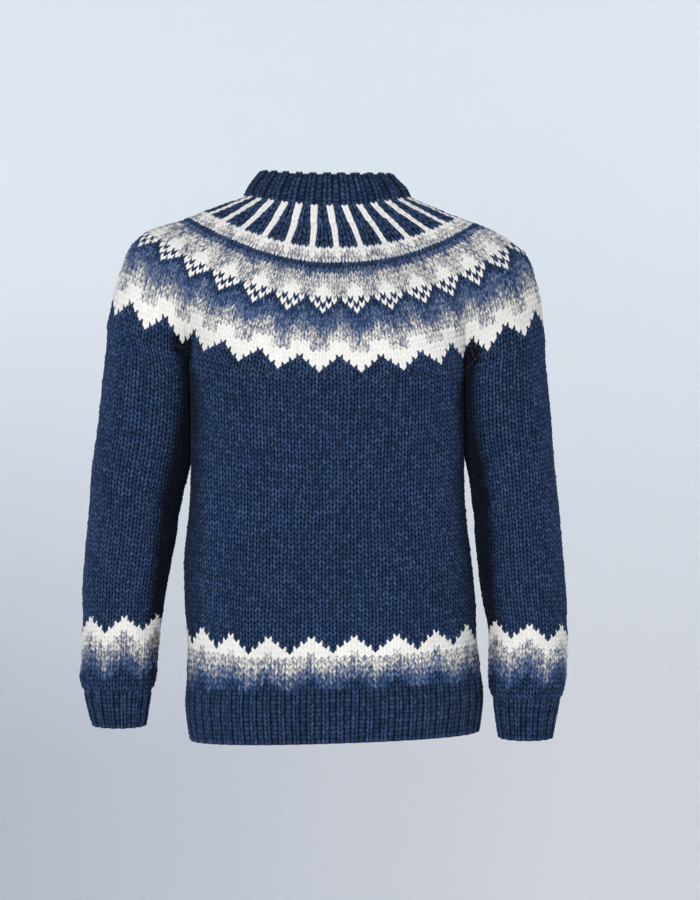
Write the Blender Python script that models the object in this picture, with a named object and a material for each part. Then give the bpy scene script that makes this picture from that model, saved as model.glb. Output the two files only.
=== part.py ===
"""A hand-knitted pullover with a round yoke, filled out and hollow, as eight knitted pieces.

Z is up, the front faces -Y, and left and right are the wearer's, so the left sleeve is at +X.
The origin is in the middle of the neck, level with the foot of the neckband at the front.
The tables are in millimetres. Every piece is a tube of cloth: its outer side is worked out row by
row and stitch by stitch, and its inner side lies one thickness of cloth within it. Rings of
stitches start at the middle of the front and run anticlockwise as seen from above.
"""

import math

import bmesh
import bpy
import numpy as np

MM = 0.001
FINE = 720  # points on the fine ring that a row of stitches is spaced out along

# Stitches round each piece. The yoke goes front, left sleeve, back, right sleeve.
FRONT = 48  # the back has as many
ARM = 36  # of each sleeve's stitches, those that the yoke picks up
UNDERARM = 6  # and those joined to the body under the arm
YOKE_ROUND = 2 * (FRONT + ARM)
BODY_ROUND = 2 * (FRONT + UNDERARM)
SLEEVE_ROUND = ARM + UNDERARM
HEM_RIBS = BODY_ROUND // 2
CUFF_RIBS = 15
NECK_RIBS = 24

# The stitches, round the body and round the yoke, where an underarm starts or ends.
HALF = FRONT // 2
LEFT_START, LEFT_END = HALF, HALF + UNDERARM
RIGHT_START, RIGHT_END = LEFT_END + FRONT, LEFT_END + FRONT + UNDERARM
YOKE_BACK = HALF + ARM
YOKE_RIGHT = YOKE_BACK + FRONT
YOKE_FRONT = YOKE_RIGHT + ARM
# What the yoke picks up: the first stitch of the piece, the yoke's that meets it, and how many.
BODY_SPANS = ((RIGHT_END, YOKE_FRONT, FRONT), (LEFT_END, YOKE_BACK, FRONT))
LEFT_SPAN = (0, HALF, ARM)
RIGHT_SPAN = (0, YOKE_RIGHT, ARM)

# Rows of knitting, and the rows that carry a ring of corners, counted up from each piece's foot.
YOKE_ROWS = 34
BODY_ROWS = 62
SLEEVE_ROWS = 73
YOKE_RINGS_AT = (0, 1, 3, 6, 10, 15, 20, 26, 34)
BODY_RINGS_AT = (0, 6, 12, 20, 29, 38, 46, 53, 58, 60, 61, 62)
SLEEVE_RINGS_AT = (0, 3, 8, 15, 24, 33, 41, 49, 57, 64, 69, 71, 73)
STITCHES_A_SIDE = 2  # stitches between one corner of a ring and the next
RIB_SIDES = 4  # corners on each rib and the groove beside it

CLOTH = 4.0  # the thickness of single knitting
NECKBAND_CLOTH = 8.0  # the neckband is double
RIB_HEIGHT = 2.2  # how far a rib stands out of the groove beside it
SEAM = 0.23  # each piece ends this far short of the line where it meets the next
BODY_CLEAR = 1.8  # the space between a sleeve and the side of the body that it hangs against
UNDERARM_DIP = 9.0  # how far the join under the arm sags below its two ends
VALLEY_ROWS = 18  # the dent above each end of the underarm has run out after this many rows
VALLEY_FADE = 1.3
CLIMB_LEFT = 2.35  # how late each side of the yoke climbs from its middle to its shoulder
CLIMB_RIGHT = 1.85
BODY_TOP_BLEND = 0.1  # the share of the body's height that turns into the underarms
SLEEVE_TOP_BLEND = 0.12
HEM_TILT = 0.031  # the hem climbs this much towards +X
HEM_RISE = 0.035  # and the rib's lower edge this much towards the front
CROWN = 3.0  # the neckband's folded edge stands this far above its two sides
END_SHARE = 1 / 3  # a sleeve's last row bends to each end of the underarm within this share of it
SIDE_POWER = 3  # how near its sides the body is drawn back
RIB_BEND = 40  # degrees: a sharper corner than this is an edge

NAVY = (0.014, 0.031, 0.105)
WOOL_ROUGHNESS = 0.92

# Rings that differ in height all round: how far each reaches to the four sides, and its height there.
RING_COLUMNS = (
    "step", "right", "left", "front", "back", "z_right", "z_left", "z_front", "z_back",
)
# The yoke without its dents. A step is a row.
YOKE_RINGS = (
    (0, 253, 247, 102, 99, -140, -155, -206, -180),
    (9, 239, 238, 105, 102, -77, -93, -157, -131),
    (14, 226, 226, 104, 102, -45, -59, -131, -104),
    (18, 205, 205, 99, 99, -29, -40, -107, -80),
    (23, 169, 173, 91, 92, -18, -24, -78, -49),
    (27, 146, 148, 83, 82, -8, -15, -55, -24),
    (34, 98, 92, 64, 62, 9, 8, -8, 20),
)
# The neckband, which takes over from the yoke's last ring. A step is a fifth of its height.
NECKBAND_RINGS = (
    (0, 98, 92, 64, 62, 9, 8, -8, 20),
    (2, 93, 87, 59, 59, 20, 18, 6, 29),
    (4, 84, 76, 50, 52, 32, 29, 24, 38),
    (5, 81, 73, 46, 48, 36, 33, 29, 41),
)

# The body: how far it reaches at each height, and how far back its sides are fullest.
BODY_COLUMNS = ("z", "right", "left", "front", "back", "fullest")
BODY_SECTIONS = (
    (-548, 165, 174, 102, 99, 0),
    (-500, 163, 168, 99, 97, 0),
    (-460, 166, 167, 97, 96, 0),
    (-410, 167, 162, 96, 95, -4),
    (-340, 160, 154, 97, 95, -10),
    (-280, 158, 153, 100, 97, -16),
    (-190, 161, 154, 102, 99, -12),
    (-150, 162, 154, 103, 99, -10),
)
BODY_TOP_Z = -180  # the height whose section the body's last row follows
BODY_ROUNDNESS = 2.3  # 2 is an ellipse, and more is squarer
HEM_COLUMNS = ("down", "right", "left", "front", "back")
HEM_SECTIONS = (
    (0, 165, 174, 102, 99),
    (20, 165, 175, 103, 100),
    (62, 160, 171, 101, 98),
)

# The sleeves: how far from the body's middle their outer and inner sides lie, and front and back.
SLEEVE_COLUMNS = ("z", "outer", "inner", "front", "back")
RIGHT_SLEEVE_SECTIONS = (
    (-554, 282, 201, -60, 16),
    (-543, 285, 198, -62, 19),
    (-524, 283, 197, -61, 22),
    (-484, 283, 194, -57, 29),
    (-443, 283, 189, -53, 37),
    (-405, 281, 183, -50, 46),
    (-360, 277, 175, -47, 52),
    (-314, 274, 168, -49, 58),
    (-272, 268, 158, -51, 62),
    (-197, 259, 151, -57, 60),
    (-120, 250, 150, -57, 58),
)
LEFT_SLEEVE_SECTIONS = (
    (-563, 265, 184, -60, 16),
    (-550, 268, 181, -62, 19),
    (-525, 270, 181, -61, 22),
    (-480, 272, 181, -57, 30),
    (-443, 270, 174, -53, 38),
    (-405, 267, 170, -50, 46),
    (-353, 263, 165, -47, 53),
    (-307, 258, 161, -49, 59),
    (-254, 254, 151, -52, 62),
    (-197, 248, 148, -57, 60),
    (-120, 244, 148, -57, 58),
)
CUFF_COLUMNS = ("down", "outer", "inner", "front", "back")
RIGHT_CUFF_SECTIONS = (
    (0, 280, 203, -59, 14),
    (15, 276, 206, -57, 9),
    (42, 269, 210, -53, 7),
)
LEFT_CUFF_SECTIONS = (
    (0, 263, 186, -59, 14),
    (13, 259, 188, -57, 9),
    (47, 253, 193, -53, 7),
)

# The largest folds, as soft troughs: the share of the ring where each lies, its height, how much
# it climbs from one side to the other, and its length, width and depth.
FOLD_COLUMNS = ("round", "z", "climb", "length", "width", "depth")
BODY_FOLDS = (
    (0.00, -300, 0.0, 90, 26, 2.5),
    (0.17, -250, 60.0, 70, 16, 3.5),
    (0.83, -255, -60.0, 75, 16, 3.5),
    (0.10, -470, 30.0, 60, 18, 2.5),
    (0.90, -440, -24.0, 64, 18, 2.5),
    (0.36, -262, -55.0, 70, 17, 3.5),
    (0.64, -258, 55.0, 72, 17, 3.5),
    (0.50, -400, 12.0, 110, 26, 3.0),
)
SLEEVE_FOLDS = (
    (0.10, -345, 14.0, 34, 12, 4.5),
    (0.17, -382, -12.0, 30, 11, 3.0),
    (0.70, -305, 10.0, 36, 14, 3.0),
    (0.14, -300, 18.0, 30, 11, 3.0),
    (0.42, -470, -10.0, 36, 14, 2.5),
)


def read(table, columns, name, at):
    """The named column of a table at the place `at`, on a smooth curve through its rows."""
    rows = np.array(table, float)
    rows = rows[np.argsort(rows[:, 0])]
    place, value = rows[:, 0], rows[:, columns.index(name)]
    slope = np.gradient(value, place)
    at = np.clip(at, place[0], place[-1])
    i = np.clip(np.searchsorted(place, at) - 1, 0, len(place) - 2)
    span, rise = place[i + 1] - place[i], value[i + 1] - value[i]
    t = (at - place[i]) / span
    bend = (1 - t) * (slope[i] * span - rise) - t * (slope[i + 1] * span - rise)
    return value[i] + rise * t + t * (1 - t) * bend


def unit(vectors):
    return vectors / np.linalg.norm(vectors, axis=-1, keepdims=True)


def spaced(line, shares):
    """Points along a line of fine points, at shares of its length."""
    run = np.concatenate([[0], np.cumsum(np.linalg.norm(np.diff(line, axis=0), axis=1))])
    at = np.asarray(shares) * run[-1]
    return np.stack([np.interp(at, run, line[:, k]) for k in range(line.shape[1])], axis=1)


def round_it(ring, count, first=0.0):
    """`count` evenly spaced points round a closed ring, the first at a share of its length."""
    return spaced(np.vstack([ring, ring[:1]]), np.mod(first + np.arange(count) / count, 1.0))


def oval(right, left, front, back, roundness=2.0):
    """A fine closed ring in plan, from the middle of the front."""
    turn = np.linspace(0, 2 * math.pi, FINE, endpoint=False)
    across, away = np.sin(turn), -np.cos(turn)
    squared = 2 / roundness
    x = np.where(across > 0, left, right) * np.sign(across) * np.abs(across) ** squared
    y = np.where(away > 0, back, front) * np.sign(away) * np.abs(away) ** squared
    return np.stack([x, y], axis=1)


def hill_height(ring, x, y):
    """The height over a point in plan of a ring that climbs from its front and back to its sides."""
    reach = np.where(x > 0, ring["left"], ring["right"])
    climb = np.where(x > 0, CLIMB_LEFT, CLIMB_RIGHT)
    sideways = np.clip(np.abs(x) / reach, 0, 1) ** climb
    z_side = np.where(x > 0, ring["z_left"], ring["z_right"])
    z_end = np.where(y > 0, ring["z_back"], ring["z_front"])
    return sideways * z_side + (1 - sideways) * z_end


def hilly_ring(table, step, count):
    """`count` points round a ring whose height differs at its front, sides and back."""
    ring = {name: read(table, RING_COLUMNS, name, step) for name in RING_COLUMNS[1:]}
    x, y = round_it(oval(ring["right"], ring["left"], ring["front"], ring["back"]), count).T
    return np.stack([x, y, hill_height(ring, x, y)], axis=1)


def yoke_height(x, y):
    """The height of the yoke's foot over a point in plan."""
    return hill_height(dict(zip(RING_COLUMNS, YOKE_RINGS[0])), x, y)


def body_plan(z):
    """The body's section at a height, as a fine ring in plan."""
    right, left, front, back, fullest = (
        read(BODY_SECTIONS, BODY_COLUMNS, name, z) for name in BODY_COLUMNS[1:]
    )
    ring = oval(right, left, front, back, BODY_ROUNDNESS)
    sideways = np.abs(ring[:, 0]) / np.where(ring[:, 0] > 0, left, right)
    ring[:, 1] += fullest * sideways**SIDE_POWER
    return ring


def body_reach(y, z, side):
    """How far the body reaches sideways at a depth and a height. A side is 1, left, or -1."""
    ring = body_plan(z)
    half = ring[ring[:, 0] * side > 0]
    half = half[np.argsort(half[:, 1])]
    return np.interp(y, half[:, 1], np.abs(half[:, 0]))


def body_top():
    """The body's last row, a point for each stitch, sagging at the underarms."""
    x, y = round_it(body_plan(BODY_TOP_Z), BODY_ROUND).T
    z = yoke_height(x, y)
    for start in (LEFT_START, RIGHT_START):
        stitches = start + np.arange(UNDERARM + 1)
        along = np.arange(UNDERARM + 1) / UNDERARM
        level = z[start] + (z[start + UNDERARM] - z[start]) * along
        z[stitches] = level - UNDERARM_DIP * np.sin(math.pi * along)
    return np.stack([x, y, z], axis=1)


def sleeve_table(side):
    return LEFT_SLEEVE_SECTIONS if side > 0 else RIGHT_SLEEVE_SECTIONS


def sleeve_plan(table, columns, at, side, count, first=0.0):
    """`count` points round a sleeve's or a cuff's section, from the middle of its inner side."""
    outer, inner, front, back = (read(table, columns, name, at) for name in columns[1:])
    wide, deep = (outer - inner) / 2, (back - front) / 2
    inner_side = (1 + side / 2) / 2
    plan = round_it(oval(wide, wide, deep, deep), count, inner_side + first / count)
    return plan + [side * (outer + inner) / 2, (front + back) / 2]


def sleeve_top(side, top):
    """A sleeve's last row: the stitches that the yoke picks up, then those under the arm."""
    start = LEFT_START if side > 0 else RIGHT_START
    under = top[start : start + UNDERARM + 1][::-1]
    middle = float(under[:, 2].mean())
    ring = sleeve_plan(
        sleeve_table(side), SLEEVE_COLUMNS, middle, side, SLEEVE_ROUND, UNDERARM / 2
    )
    over = ring[: ARM + 1]
    along = np.arange(ARM + 1)[:, None] / ARM
    near_start = np.clip(1 - along / END_SHARE, 0, 1) ** 2
    near_end = near_start[::-1]
    over = over + (under[-1, :2] - over[0]) * near_start + (under[0, :2] - over[-1]) * near_end
    over = np.column_stack([over, yoke_height(*over.T)])
    over = spaced(over, np.arange(ARM + 1) / ARM)
    return np.vstack([over[:-1], under[:-1]])


def yoke_foot(top, left_top, right_top):
    """The yoke's first row: stitches of the front, left sleeve, back and right sleeve."""
    return np.vstack([
        top[:LEFT_START],
        left_top[:ARM],
        top[LEFT_END:RIGHT_START],
        right_top[:ARM],
        top[RIGHT_END:],
    ])


def yoke_grid(foot):
    """The yoke's outer side, a ring for each row from its foot."""
    dent = foot - hilly_ring(YOKE_RINGS, 0, YOKE_ROUND)
    grid = []
    for row in range(YOKE_ROWS + 1):
        fade = max(0.0, 1 - row / VALLEY_ROWS) ** VALLEY_FADE
        grid.append(hilly_ring(YOKE_RINGS, row, YOKE_ROUND) + dent * fade)
    return np.array(grid)


def body_grid(top):
    """The body's outer side, a ring for each row from the hem rib."""
    foot_z = BODY_SECTIONS[0][0]
    foot_z = foot_z + HEM_TILT * round_it(body_plan(foot_z), BODY_ROUND)[:, 0]
    grid = []
    for row in range(BODY_ROWS + 1):
        share = row / BODY_ROWS
        z = foot_z + (top[:, 2] - foot_z) * share
        plan = round_it(body_plan(float(z.mean())), BODY_ROUND)
        turn = max(0.0, (share - 1 + BODY_TOP_BLEND) / BODY_TOP_BLEND) ** 2
        grid.append(np.column_stack([plan + (top[:, :2] - plan) * turn, z]))
    return np.array(grid)


def clear_of_body(ring, side):
    """The same ring, moved sideways where it would be in the body or close to it."""
    moved = ring.copy()
    for point in moved:
        least = body_reach(point[1], point[2], side) + BODY_CLEAR
        spare = abs(point[0]) - least
        point[0] = side * (least + (spare + math.hypot(spare, BODY_CLEAR)) / 2)
    return moved


def sleeve_grid(side, top):
    """A sleeve's outer side, a ring for each row from the cuff."""
    table = sleeve_table(side)
    foot_z = table[0][0]
    grid = []
    for row in range(SLEEVE_ROWS):
        share = row / SLEEVE_ROWS
        z = foot_z + (top[:, 2] - foot_z) * share
        middle = float(z.mean())
        plan = sleeve_plan(table, SLEEVE_COLUMNS, middle, side, SLEEVE_ROUND, UNDERARM / 2)
        turn = max(0.0, (share - 1 + SLEEVE_TOP_BLEND) / SLEEVE_TOP_BLEND) ** 2
        plan = plan + (top[:, :2] - plan) * turn
        grid.append(clear_of_body(np.column_stack([plan, z]), side))
    return np.array([*grid, top])


def outward(grid):
    """The direction out of the cloth at each point of a grid."""
    along = np.roll(grid, -1, axis=1) - np.roll(grid, 1, axis=1)
    return unit(np.cross(along, np.gradient(grid, axis=0)))


def folded(grid, folds, share):
    """The same grid with its folds pressed in. share says where round the ring each stitch lies."""
    out = outward(grid)
    girth = np.linalg.norm(np.roll(grid, -1, axis=1) - grid, axis=2).sum(axis=1)
    press = np.zeros(grid.shape[:2])
    for fold in folds:
        value = dict(zip(FOLD_COLUMNS, fold))
        away = np.mod(share - value["round"] + 0.5, 1.0) - 0.5
        across = away[None, :] * girth[:, None]
        line_z = value["z"] + value["climb"] * across / value["length"]
        far = (across / value["length"]) ** 2 + ((grid[:, :, 2] - line_z) / value["width"]) ** 2
        press += value["depth"] * np.exp(-far)
    rows = np.arange(grid.shape[0])[:, None] / (grid.shape[0] - 1)
    from_ends = np.sqrt(np.sin(math.pi * rows))
    return grid - out * (press * from_ends)[:, :, None]


def rim_step(ring, out):
    """The way up the cloth at each point of a ring, square to the ring and to the way out."""
    along = unit(np.roll(ring, -1, axis=0) - np.roll(ring, 1, axis=0))
    return unit(np.cross(out, along))


def meet_yoke(grid, out, yoke_out, yoke_up, spans):
    """Turns a tube's last row to face the yoke's first, and draws it back from where they meet.

    A span is the tube's stitch and the yoke's at one end of what the yoke picks up, and how many
    stitches it picks up. Between spans the body and a sleeve stand side by side under the arm.
    """
    back = -out[-1]
    for first, yoke_first, count in spans:
        own = (first + np.arange(count + 1)) % grid.shape[1]
        met = (yoke_first + np.arange(count + 1)) % YOKE_ROUND
        back[own[1:-1]] = -yoke_up[met[1:-1]]
        out[-1, own[1:-1]] = yoke_out[met[1:-1]]
        for end in (0, -1):
            back[own[end]] = unit(back[own[end]] - yoke_up[met[end]])
    grid[-1] += SEAM * back


def read_round(ring, count):
    """A closed ring's directions, read at `count` even places round it."""
    closed = np.vstack([ring, ring[:1]])
    at, places = np.arange(len(closed)), np.arange(count) * len(ring) / count
    return unit(np.stack([np.interp(places, at, closed[:, k]) for k in range(3)], axis=1))


def tube(name, outer, inner):
    """A closed wall from the rings of its outer and inner sides, both listed from the bottom up."""
    shape = bmesh.new()
    rings = [[shape.verts.new(p * MM) for p in ring] for ring in [*outer, *inner[::-1]]]
    for lower, upper in zip(rings, rings[1:] + rings[:1]):
        for n in range(len(lower)):
            after = (n + 1) % len(lower)
            shape.faces.new((lower[n], lower[after], upper[after], upper[n]))
    mesh = bpy.data.meshes.new(name)
    shape.to_mesh(mesh)
    shape.free()
    mesh.shade_smooth()
    mesh.set_sharp_from_angle(angle=math.radians(RIB_BEND))
    mesh.materials.append(wool(name))
    piece = bpy.data.objects.new(name, mesh)
    bpy.data.collections["yoke_sweater"].objects.link(piece)
    return piece


def wool(name):
    material = bpy.data.materials.new(name + "_wool")
    material.use_nodes = True
    shader = material.node_tree.nodes["Principled BSDF"]
    shader.inputs["Base Color"].default_value = (*NAVY, 1)
    shader.inputs["Roughness"].default_value = WOOL_ROUGHNESS
    shader.inputs["Metallic"].default_value = 0
    return material


def knitted(name, grid, out, rows, first):
    """A piece of plain knitting, with its walls' corners at some of its stitches and rows."""
    outer = grid[list(rows)][:, first::STITCHES_A_SIDE]
    inner = (grid - out * CLOTH)[list(rows)][:, first::STITCHES_A_SIDE]
    return tube(name, outer, inner)


def raised(ribs):
    """How far each corner of a ribbed ring stands out."""
    corner = np.arange(ribs * RIB_SIDES) % RIB_SIDES
    return np.where((corner == 0) | (corner == RIB_SIDES - 1), RIB_HEIGHT, 0.0)[:, None]


def ribbed_foot(name, plans, heights, ribs):
    """A hem's or a cuff's rib, hanging from a level seam. Plans and heights run from the seam down."""
    outer, inner = [], []
    for plan, height in zip(plans, heights):
        along = unit(np.roll(plan, -1, axis=0) - np.roll(plan, 1, axis=0))
        out = np.stack([along[:, 1], -along[:, 0]], axis=1)
        for rings, ring in ((outer, plan + out * raised(ribs)), (inner, plan - out * CLOTH)):
            rings.append(np.column_stack([ring, height(*ring.T)]))
    return tube(name, outer[::-1], [inner[-1], inner[0]])


def hem_rib():
    plans = []
    heights = []
    for down, right, left, front, back in HEM_SECTIONS:
        plans.append(round_it(oval(right, left, front, back, BODY_ROUNDNESS), HEM_RIBS * RIB_SIDES))
        level = BODY_SECTIONS[0][0] - max(down, SEAM)
        rise = HEM_RISE * down / HEM_SECTIONS[-1][0]
        heights.append(lambda x, y, level=level, rise=rise: level + HEM_TILT * x - rise * y)
    return ribbed_foot("hem_rib", plans, heights, HEM_RIBS)


def cuff(name, side, table):
    plans = []
    heights = []
    for row in table:
        at = row[0]
        plans.append(sleeve_plan(table, CUFF_COLUMNS, at, side, CUFF_RIBS * RIB_SIDES))
        level = sleeve_table(side)[0][0] - max(at, SEAM)
        heights.append(lambda x, y, level=level: np.full(len(x), level))
    return ribbed_foot(name, plans, heights, CUFF_RIBS)


def neckband(yoke, yoke_out):
    """The double rib round the neck. It also turns the yoke's last row to face it."""
    count = NECK_RIBS * RIB_SIDES
    grid = np.array([hilly_ring(NECKBAND_RINGS, row[0], count) for row in NECKBAND_RINGS])
    out = outward(grid)
    own = out[0].copy()
    out[0] = unit(own + read_round(yoke_out[-1], count))
    yoke_out[-1] = unit(yoke_out[-1] + read_round(own, YOKE_ROUND))
    grid[0] += SEAM * rim_step(grid[0], out[0])
    yoke[-1] -= SEAM * rim_step(yoke[-1], yoke_out[-1])
    outer = grid + out * raised(NECK_RIBS)
    inner = grid - out * NECKBAND_CLOTH
    crown = (outer[-1] + inner[-1]) / 2 + [0, 0, CROWN]
    tube("neckband", [*outer, crown], inner)


def start():
    for thing in list(bpy.data.objects):
        bpy.data.objects.remove(thing)
    collection = bpy.data.collections.new("yoke_sweater")
    bpy.context.scene.collection.children.link(collection)


def main():
    start()
    top = body_top()
    left_top, right_top = sleeve_top(1, top), sleeve_top(-1, top)
    yoke = yoke_grid(yoke_foot(top, left_top, right_top))
    yoke_out = outward(yoke)
    yoke_up = rim_step(yoke[0], yoke_out[0])
    meeting = yoke_out[0].copy(), yoke_up
    neckband(yoke, yoke_out)
    yoke[0] += SEAM * yoke_up
    knitted("yoke", yoke, yoke_out, YOKE_RINGS_AT, HALF % STITCHES_A_SIDE)

    body = folded(body_grid(top), BODY_FOLDS, np.arange(BODY_ROUND) / BODY_ROUND)
    body_out = outward(body)
    meet_yoke(body, body_out, *meeting, BODY_SPANS)
    body[0, :, 2] += SEAM
    body_out[0] = unit(body_out[0] * [1, 1, 0])
    body_out[0, :, 2] = HEM_TILT * body_out[0, :, 0]
    knitted("body", body, body_out, BODY_RINGS_AT, HALF % STITCHES_A_SIDE)
    hem_rib()

    for side, name, span in ((1, "left", LEFT_SPAN), (-1, "right", RIGHT_SPAN)):
        share = side * (np.arange(SLEEVE_ROUND) + UNDERARM / 2) / SLEEVE_ROUND
        sleeve = sleeve_grid(side, left_top if side > 0 else right_top)
        sleeve = folded(sleeve, SLEEVE_FOLDS, np.mod(share, 1.0))
        sleeve_out = outward(sleeve)
        meet_yoke(sleeve, sleeve_out, *meeting, [span])
        sleeve[0, :, 2] += SEAM
        sleeve_out[0] = unit(sleeve_out[0] * [1, 1, 0])
        knitted("sleeve_" + name, sleeve, sleeve_out, SLEEVE_RINGS_AT, 0)
        cuff("cuff_" + name, side, LEFT_CUFF_SECTIONS if side > 0 else RIGHT_CUFF_SECTIONS)


main()
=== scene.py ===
"""A hand-knitted pullover with a round patterned yoke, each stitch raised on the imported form.

Z is up, the front faces -Y, and left and right are the wearer's, so the left sleeve is at +X.
The tables are in millimetres. A place on a piece is a number of stitches round it and of rows up
it; rings start at the middle of the front and run anticlockwise as seen from above.
"""

import math

import bpy
import numpy as np
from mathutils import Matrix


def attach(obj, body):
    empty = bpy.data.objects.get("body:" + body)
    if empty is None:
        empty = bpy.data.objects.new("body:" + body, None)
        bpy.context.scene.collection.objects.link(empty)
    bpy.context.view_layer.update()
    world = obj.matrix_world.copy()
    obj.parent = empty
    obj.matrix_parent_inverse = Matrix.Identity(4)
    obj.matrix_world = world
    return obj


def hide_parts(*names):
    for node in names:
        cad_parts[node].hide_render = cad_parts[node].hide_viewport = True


MM = 0.001
FINE = 720  # points round a section before the stitches are spaced along it
SEED = 7

# Stitches round each piece. The yoke goes front, left sleeve, back, right sleeve.
FRONT = 48
ARM = 36
UNDERARM = 6
YOKE_ROUND = 2 * (FRONT + ARM)
BODY_ROUND = 2 * (FRONT + UNDERARM)
SLEEVE_ROUND = ARM + UNDERARM
WRIST_ROUND = 36
HEM_RIBS = BODY_ROUND // 2
CUFF_RIBS = 15
NECK_RIBS = 24
REPEAT = 6
# The stitches of the body, and then of the yoke, at which the stretches of the round begin.
HALF = FRONT // 2
LEFT_START, LEFT_END = HALF, HALF + UNDERARM
RIGHT_START, RIGHT_END = LEFT_END + FRONT, LEFT_END + FRONT + UNDERARM
YOKE_BACK = HALF + ARM
YOKE_RIGHT = YOKE_BACK + FRONT
YOKE_FRONT = YOKE_RIGHT + ARM

YOKE_ROWS = 34
BODY_ROWS = 62
SLEEVE_ROWS = 73
HEM_RIB_ROWS = 12
CUFF_ROWS = 9
NECK_ROWS = 8

CLOTH = 4.0  # how thick the walls are
NECKBAND_CLOTH = 8.0
BODY_CLEAR = 1.8  # between a sleeve and the body
UNDERARM_DIP = 9.0
VALLEY_ROWS = 18  # the rows of the yoke that the dents over the armholes fade out in
VALLEY_FADE = 1.3
CLIMB_LEFT = 2.35  # the higher, the closer to the shoulder a ring starts to climb
CLIMB_RIGHT = 1.85
BODY_TOP_BLEND = 0.1  # the share of a tube over which its section turns into the yoke's edge
SLEEVE_TOP_BLEND = 0.12
END_SHARE = 1 / 3  # the share of a sleeve's top that bends towards each of its ends
SIDE_POWER = 3
HEM_TILT = 0.031  # how much the hem rises towards the left
HEM_RISE = 0.035  # how much its edge rises towards the front
CROWN = 3.0  # how high the neckband's fold is rounded

# The forms' sections. A side is 1, the left, or -1, the right.
# A ring's row, how far it reaches to the right, left, front and back, and how high it is there.
YOKE_RINGS = (
    (0, 253, 247, 102, 99, -140, -155, -206, -180), (9, 239, 238, 105, 102, -77, -93, -157, -131),
    (14, 226, 226, 104, 102, -45, -59, -131, -104), (18, 205, 205, 99, 99, -29, -40, -107, -80),
    (23, 169, 173, 91, 92, -18, -24, -78, -49), (27, 146, 148, 83, 82, -8, -15, -55, -24),
    (34, 98, 92, 64, 62, 9, 8, -8, 20),
)
NECKBAND_RINGS = (
    (0, 98, 92, 64, 62, 9, 8, -8, 20), (2, 93, 87, 59, 59, 20, 18, 6, 29),
    (4, 84, 76, 50, 52, 32, 29, 24, 38), (5, 81, 73, 46, 48, 36, 33, 29, 41),
)
# The height, the reaches, and how far the sides lie back from the middle.
BODY_SECTIONS = (
    (-548, 165, 174, 102, 99, 0), (-500, 163, 168, 99, 97, 0), (-460, 166, 167, 97, 96, 0),
    (-410, 167, 162, 96, 95, -4), (-340, 160, 154, 97, 95, -10), (-280, 158, 153, 100, 97, -16),
    (-190, 161, 154, 102, 99, -12), (-150, 162, 154, 103, 99, -10),
)
BODY_TOP_Z = -180
BODY_ROUNDNESS = 2.3
# The distance down from the body, and the reaches.
HEM_SECTIONS = ((0, 165, 174, 102, 99), (20, 165, 175, 103, 100), (62, 160, 171, 101, 98))
# The height, the outer and the inner side's x without its sign, and the front and back.
SLEEVE_SECTIONS = {
    1: (
        (-563, 265, 184, -60, 16), (-550, 268, 181, -62, 19), (-525, 270, 181, -61, 22),
        (-480, 272, 181, -57, 30), (-443, 270, 174, -53, 38), (-405, 267, 170, -50, 46),
        (-353, 263, 165, -47, 53), (-307, 258, 161, -49, 59), (-254, 254, 151, -52, 62),
        (-197, 248, 148, -57, 60), (-120, 244, 148, -57, 58),
    ),
    -1: (
        (-554, 282, 201, -60, 16), (-543, 285, 198, -62, 19), (-524, 283, 197, -61, 22),
        (-484, 283, 194, -57, 29), (-443, 283, 189, -53, 37), (-405, 281, 183, -50, 46),
        (-360, 277, 175, -47, 52), (-314, 274, 168, -49, 58), (-272, 268, 158, -51, 62),
        (-197, 259, 151, -57, 60), (-120, 250, 150, -57, 58),
    ),
}
CUFF_SECTIONS = {
    1: ((0, 263, 186, -59, 14), (13, 259, 188, -57, 9), (47, 253, 193, -53, 7)),
    -1: ((0, 280, 203, -59, 14), (15, 276, 206, -57, 9), (42, 269, 210, -53, 7)),
}
# A fold's place round the piece as a share, its height, how much it climbs over its length, and
# its length, width and depth.
BODY_FOLDS = (
    (0, -300, 0, 90, 26, 2.5), (0.17, -250, 60, 70, 16, 3.5), (0.83, -255, -60, 75, 16, 3.5),
    (0.1, -470, 30, 60, 18, 2.5), (0.9, -440, -24, 64, 18, 2.5), (0.36, -262, -55, 70, 17, 3.5),
    (0.64, -258, 55, 72, 17, 3.5), (0.5, -400, 12, 110, 26, 3),
)
SLEEVE_FOLDS = (
    (0.1, -345, 14, 34, 12, 4.5), (0.17, -382, -12, 30, 11, 3), (0.7, -305, 10, 36, 14, 3),
    (0.14, -300, 18, 30, 11, 3), (0.42, -470, -10, 36, 14, 2.5), (0.15, -345, -18, 20, 5, 2.6),
    (0.19, -359, -16, 17, 4.5, 2.2), (0.68, -300, 9, 26, 4, 2), (0.72, -318, -7, 24, 4, 1.8),
)

# The charts, a word for each row, which gives the stitches from a motif's middle to halfway to the
# next: W white, N navy, and in between heather, from 1, nearly white, to 9, nearly navy. Rows run
# upwards on the yoke and downwards on the hem and the cuffs.
YARNS = "NW"  # the letters of the first two materials
HEATHER, INSIDE = 2, 3  # the numbers of the others
WOOLS = ("wool_navy", "wool_white", "wool_heather", "wool_inside")
YOKE_PLAIN = 2  # rows below the yoke's chart
YOKE_CHART = (
    "WNNN WWNN WWWN WWWW 11WW 21WW 3211 6432 7653 8865 9887 N987 "
    "WN98 NWNN WNWN WW12 WW22 W122 1223 3346 8889 NNNN"
).split()
RAY_CHART = "1222 W111 WW1W".split()  # a repeat's stitches, the ray's own first
HEM_CHART = "WNNN WWNN WWWN 1WWW 3211 4321 6543 8765 N987 NN98".split()
CUFF_CHART = "WNNN WWNN WWWN 1WWW 31WW 321W 5321 6542 8754 9875 N986 NN97 NNN9 NNNN".split()
YOKE_MOTIF = 4  # the first motif's middle stitch
HEM_MOTIF = 3
CUFF_MOTIF = {1: 2, -1: 4}
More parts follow.
